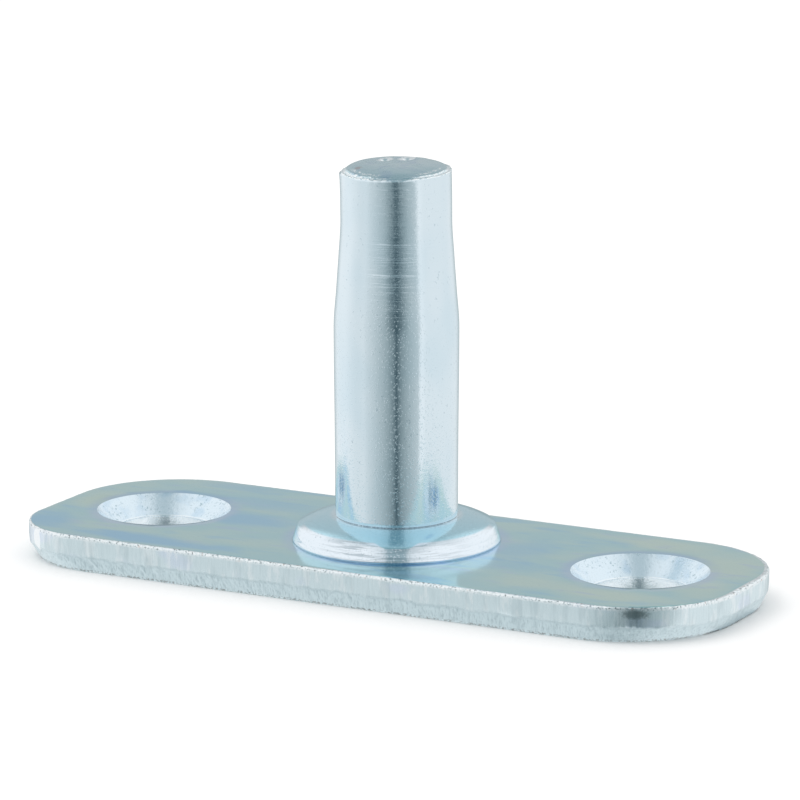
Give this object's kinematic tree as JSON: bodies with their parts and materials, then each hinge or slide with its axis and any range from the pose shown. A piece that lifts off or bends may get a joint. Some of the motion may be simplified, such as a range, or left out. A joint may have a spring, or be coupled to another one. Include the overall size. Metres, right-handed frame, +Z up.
{
  "type": "gate hinge pin",
  "caption": "Zinc-plated steel gate hinge pin: an upright collared pin with a tapered lead-in end, riveted to a flat round-cornered plate with countersunk screw holes.",
  "frame": {"origin": "on the axis of the pin, in the plane of the plate's underside", "axes": "+X along the plate through both screw holes, +Y across the plate, +Z up the pin towards its free end"},
  "size_m": [0.062, 0.022, 0.034],
  "materials": {
    "plate_zinc": "blue-passivated zinc plating with faint rainbow tints, sheared edges",
    "pin_zinc": "blue-passivated zinc plating over fine turning marks"
  },
  "bodies": {
    "root": {"base_plate": "plate_zinc", "hinge_pin": "pin_zinc"}
  },
  "joints": []
}
